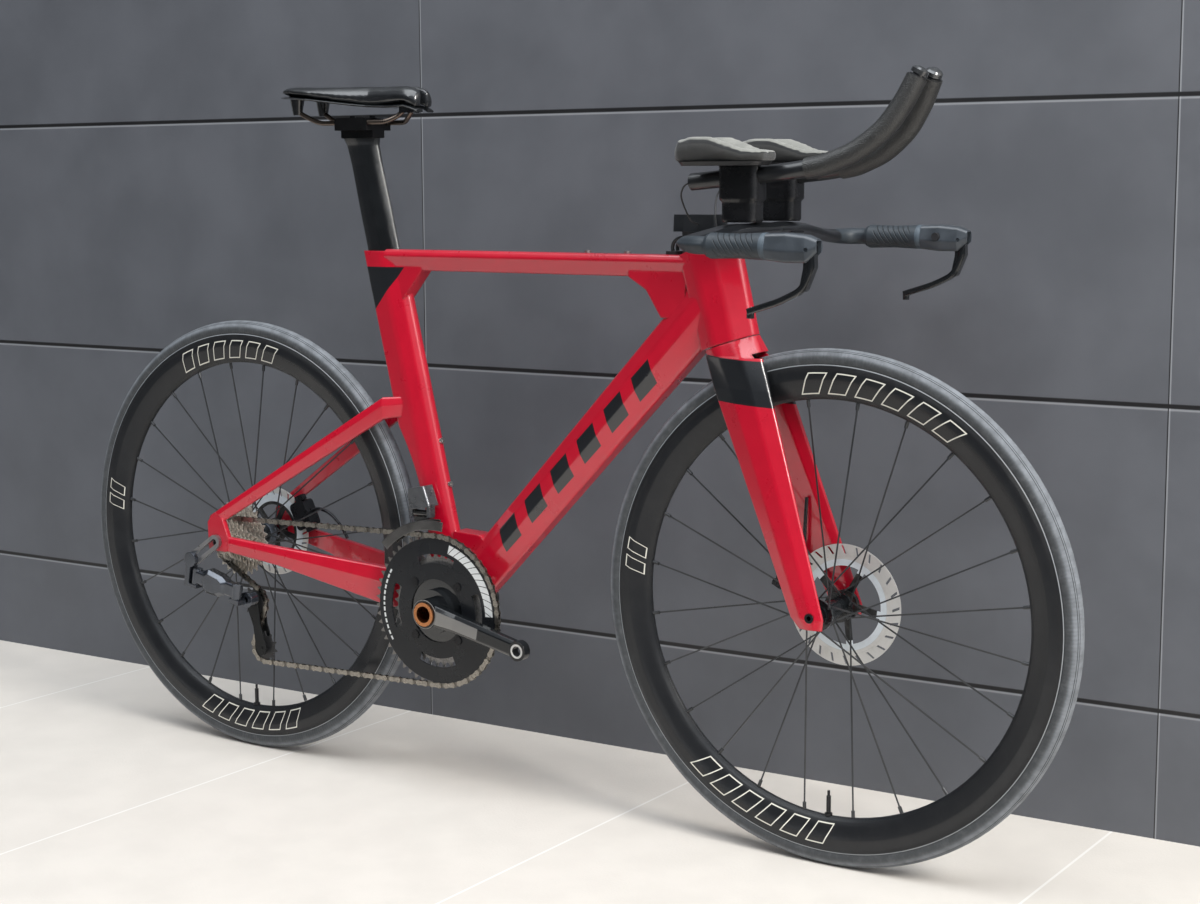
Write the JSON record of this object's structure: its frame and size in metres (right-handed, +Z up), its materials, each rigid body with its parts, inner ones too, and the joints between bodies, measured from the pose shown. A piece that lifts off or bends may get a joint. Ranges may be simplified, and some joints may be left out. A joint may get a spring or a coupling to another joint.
{
  "type": "time trial bicycle",
  "caption": "Time trial bicycle: aero frame and fork, base bar with extensions and arm pads, deep-rim wheels with disc brakes, chain drive with derailleurs, bare pedal threads.",
  "frame": {"origin": "on the ground, midway between the wheel axles, in the bike's middle plane", "axes": "+X forward, +Y to the rider's left (the drive side is -Y), +Z up"},
  "size_m": [1.6839, 0.4522, 1.019],
  "materials": {
    "red_gloss_paint": "gloss red paint over moulded carbon, black panels",
    "black_satin_carbon": "satin black moulded carbon",
    "black_gloss_carbon": "gloss black moulded carbon",
    "black_matte_plastic": "matt black moulded plastic",
    "dark_grey_plastic": "dark grey moulded plastic",
    "grip_rubber": "blue-grey moulded rubber with fine lines",
    "black_rubber": "black rubber",
    "tyre_rubber": "dark grey tyre rubber with a fine tread",
    "pad_foam": "stitched foam pad, pale upper face",
    "saddle_cover": "black cover with a gloss side band",
    "black_anodised": "black anodised aluminium",
    "grey_anodised": "grey anodised aluminium",
    "silver_steel": "brushed steel",
    "chain_steel": "plated steel with a bronze tint",
    "copper_steel": "copper coloured metal",
    "titanium_rails": "drawn tube, silver with a warm tint"
  },
  "bodies": {
    "frame_body": {"frame": "red_gloss_paint", "boss_bolts": "silver_steel", "frame_bearings": "black_anodised", "frame_hoses": "black_rubber", "derailleur_hanger": "black_anodised", "rd_knuckle": "grey_anodised", "front_derailleur": "grey_anodised", "chain": "chain_steel", "rear_axle": "black_anodised", "rear_caliper": "black_anodised"},
    "seat_post_body": {"seat_post": "black_gloss_carbon", "saddle_clamp": "black_anodised"},
    "saddle_body": {"saddle_rails": "titanium_rails", "saddle_shell": "black_gloss_carbon", "saddle_pad": "saddle_cover"},
    "fork_body": {"fork": "red_gloss_paint", "front_axle": "black_anodised", "front_caliper": "black_anodised", "base_bar": "black_satin_carbon", "stem_cover": "black_satin_carbon", "bar_grips": "grip_rubber", "lever_mounts": "dark_grey_plastic", "risers": "black_anodised", "extension_bars": "black_satin_carbon", "extension_grips": "black_rubber", "arm_cradles": "black_matte_plastic", "arm_pads": "pad_foam", "control_wires": "black_rubber"},
    "front_wheel_body": {"front_tyre": "tyre_rubber", "front_rim": "black_satin_carbon", "front_valve": "black_anodised", "front_spokes": "black_anodised", "front_hub": "black_anodised", "front_rotor": "silver_steel"},
    "rear_wheel_body": {"rear_tyre": "tyre_rubber", "rear_rim": "black_satin_carbon", "rear_valve": "black_anodised", "rear_spokes": "black_anodised", "rear_hub": "black_anodised", "rear_rotor": "silver_steel"},
    "cassette_body": {"cassette": "chain_steel"},
    "crank_body": {"crank_spindle": "copper_steel", "crank_arm_right": "black_gloss_carbon", "crank_arm_left": "black_gloss_carbon", "crank_spider": "black_gloss_carbon", "chainring_outer": "black_anodised", "chainring_inner": "silver_steel", "chainring_bolts": "silver_steel"},
    "rd_arm_body": {"rd_arm": "grey_anodised"},
    "rd_lower_knuckle_body": {"rd_lower_knuckle": "grey_anodised"},
    "rd_cage_body": {"rd_cage": "black_anodised"},
    "guide_pulley_body": {"guide_pulley": "black_matte_plastic"},
    "tension_pulley_body": {"tension_pulley": "black_matte_plastic"},
    "fd_cage_body": {"fd_cage": "silver_steel"},
    "brake_lever_right_body": {"brake_lever_right": "black_gloss_carbon"},
    "brake_lever_left_body": {"brake_lever_left": "black_gloss_carbon"},
    "hood_button_right_body": {"hood_button_right": "black_matte_plastic"},
    "hood_button_left_body": {"hood_button_left": "black_matte_plastic"},
    "shift_button_right_body": {"shift_button_right": "black_matte_plastic"},
    "shift_button_left_body": {"shift_button_left": "black_matte_plastic"}
  },
  "joints": [
    {"name": "steering", "type": "hinge", "parent": "frame_body", "child": "fork_body", "pos_m": [0.46308, 0, 0.32247], "axis": [-0.3007, 0, 0.9537], "range_deg": [-35, 35], "deforming": ["frame_hoses"]},
    {"name": "front_wheel_spin", "type": "hinge", "parent": "fork_body", "child": "front_wheel_body", "pos_m": [0.506, 0, 0.336], "axis": [0, 1, 0], "continuous": true},
    {"name": "rear_wheel_spin", "type": "hinge", "parent": "frame_body", "child": "rear_wheel_body", "pos_m": [-0.506, 0, 0.336], "axis": [0, 1, 0], "continuous": true},
    {"name": "crank_spin", "type": "hinge", "parent": "frame_body", "child": "crank_body", "pos_m": [-0.102, 0, 0.272], "axis": [0, 1, 0], "continuous": true, "deforming": ["chain"]},
    {"name": "cassette_spin", "type": "hinge", "parent": "frame_body", "child": "cassette_body", "pos_m": [-0.506, 0, 0.336], "axis": [0, 1, 0], "continuous": true, "deforming": ["chain"]},
    {"name": "rd_shift", "type": "hinge", "parent": "frame_body", "child": "rd_arm_body", "pos_m": [-0.544, -0.083, 0.2815], "axis": [0.1701, 0, 0.9854], "range_deg": [-12.6, 12.6], "deforming": ["chain"]},
    {"name": "rd_follow", "type": "hinge", "parent": "rd_arm_body", "child": "rd_lower_knuckle_body", "pos_m": [-0.46, -0.083, 0.267], "axis": [0.1701, 0, 0.9854], "range_deg": [-12.6, 12.6], "deforming": ["chain"]},
    {"name": "rd_cage_swing", "type": "hinge", "parent": "rd_lower_knuckle_body", "child": "rd_cage_body", "pos_m": [-0.452, -0.0575, 0.252], "axis": [0, 1, 0], "range_deg": [-30, 25], "stiffness_Nm_per_rad": 2, "deforming": ["chain"]},
    {"name": "guide_pulley_spin", "type": "hinge", "parent": "rd_cage_body", "child": "guide_pulley_body", "pos_m": [-0.458, -0.046, 0.244], "axis": [0, 1, 0], "continuous": true, "deforming": ["chain"]},
    {"name": "tension_pulley_spin", "type": "hinge", "parent": "rd_cage_body", "child": "tension_pulley_body", "pos_m": [-0.44115, -0.046, 0.17503], "axis": [0, 1, 0], "continuous": true, "deforming": ["chain"]},
    {"name": "fd_shift", "type": "hinge", "parent": "frame_body", "child": "fd_cage_body", "pos_m": [-0.136, -0.034, 0.409], "axis": [1, 0, 0], "range_deg": [-3, 10], "deforming": ["chain"]},
    {"name": "brake_lever_right_pull", "type": "hinge", "parent": "fork_body", "child": "brake_lever_right_body", "pos_m": [0.58351, -0.21, 0.80299], "axis": [0, 1, 0], "range_deg": [0, 22], "stiffness_Nm_per_rad": 0.6, "springref_deg": -11.46},
    {"name": "brake_lever_left_pull", "type": "hinge", "parent": "fork_body", "child": "brake_lever_left_body", "pos_m": [0.58351, 0.21, 0.80299], "axis": [0, 1, 0], "range_deg": [0, 22], "stiffness_Nm_per_rad": 0.6, "springref_deg": -11.46},
    {"name": "hood_button_right_press", "type": "slide", "parent": "fork_body", "child": "hood_button_right_body", "axis": [0, -1, 0], "range_m": [0, 0.0012], "stiffness_N_per_m": 800, "springref_m": -0.0012},
    {"name": "hood_button_left_press", "type": "slide", "parent": "fork_body", "child": "hood_button_left_body", "axis": [0, 1, 0], "range_m": [0, 0.0012], "stiffness_N_per_m": 800, "springref_m": -0.0012},
    {"name": "shift_button_right_press", "type": "slide", "parent": "fork_body", "child": "shift_button_right_body", "axis": [-0.4265, -0.1596, -0.8903], "range_m": [0, 0.0012], "stiffness_N_per_m": 800, "springref_m": -0.0012},
    {"name": "shift_button_left_press", "type": "slide", "parent": "fork_body", "child": "shift_button_left_body", "axis": [-0.4265, 0.1596, -0.8903], "range_m": [0, 0.0012], "stiffness_N_per_m": 800, "springref_m": -0.0012},
    {"name": "seat_post_height", "type": "slide", "parent": "frame_body", "child": "seat_post_body", "axis": [-0.2284, 0, 0.9736], "range_m": [-0.055, 0.04]},
    {"name": "saddle_setback", "type": "slide", "parent": "seat_post_body", "child": "saddle_body", "axis": [1, 0, 0], "range_m": [-0.015, 0.015]}
  ],
  "couplings": [
    {"joint": "cassette_spin", "follows": "crank_spin", "ratio": 3.1765},
    {"joint": "guide_pulley_spin", "follows": "crank_spin", "ratio": -4.9091},
    {"joint": "tension_pulley_spin", "follows": "crank_spin", "ratio": 4.9091},
    {"joint": "rd_follow", "follows": "rd_shift", "ratio": -1}
  ]
}
